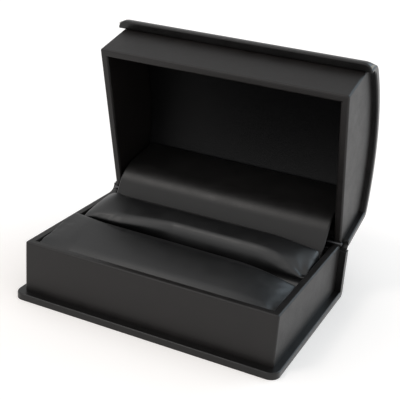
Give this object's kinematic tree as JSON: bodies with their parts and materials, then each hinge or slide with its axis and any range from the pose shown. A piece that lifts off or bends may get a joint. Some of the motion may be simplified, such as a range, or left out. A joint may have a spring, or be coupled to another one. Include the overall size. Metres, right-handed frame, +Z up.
{
  "type": "jewelry box",
  "caption": "Hinged jewelry box in black leatherette over board, with a domed lid standing open, a slotted cushion pad that grips rings or cufflinks, and a folding panel over its hinge.",
  "frame": {"origin": "middle of the underside, below the middle of the tray", "axes": "+X along the hinge to the right, +Y to the back, +Z up"},
  "size_m": [0.0904, 0.0807, 0.0801],
  "materials": {
    "leatherette": "fine-grained black leatherette with a soft sheen",
    "cushion_leatherette": "soft satin black leatherette drawn over foam",
    "lining": "matte black lining",
    "board": "raw grey board",
    "foam": "open-cell foam",
    "steel": "blackened spring steel"
  },
  "bodies": {
    "base": {"bottom_board": "board", "bottom_cover_skin": "leatherette", "back_board": "board", "back_cover_skin": "leatherette", "tray_front_wall": "board", "tray_left_wall": "board", "tray_right_wall": "board", "tray_back_wall": "board", "tray_skin": "leatherette", "pad_card": "board", "front_cushion_foam": "foam", "front_cushion_cover": "cushion_leatherette", "back_cushion_foam": "foam", "back_cushion_cover": "cushion_leatherette", "base_hinge_leaf": "steel", "base_hinge_staples": "steel", "hinge_pin": "steel", "snap_spring": "steel", "spine_fold": "leatherette"},
    "lid": {"lid_front_wall": "board", "lid_left_wall": "board", "lid_right_wall": "board", "lid_back_wall": "board", "lid_skin": "leatherette", "dome_board": "board", "lid_back_board": "board", "dome_cover_skin": "leatherette", "lid_back_cover_skin": "leatherette", "lid_lining": "lining", "lid_hinge_leaf": "steel", "lid_hinge_staples": "steel", "hinge_panel_card": "board", "hinge_panel_skin": "leatherette"},
    "flap": {"hinge_flap_card": "board", "hinge_flap_skin": "leatherette"}
  },
  "joints": [
    {"name": "lid_hinge", "type": "hinge", "parent": "base", "child": "lid", "pos_m": [0, 0.02805, 0.01945], "axis": [1, 0, 0], "range_deg": [0, 75], "deforming": ["snap_spring", "spine_fold"]},
    {"name": "flap_fold", "type": "hinge", "parent": "lid", "child": "flap", "pos_m": [0, 0.02689, 0.02804], "axis": [1, 0, 0], "range_deg": [-46.6, 0]}
  ],
  "couplings": [
    {"joint": "flap_fold", "follows": "lid_hinge", "ratio": -0.62}
  ]
}
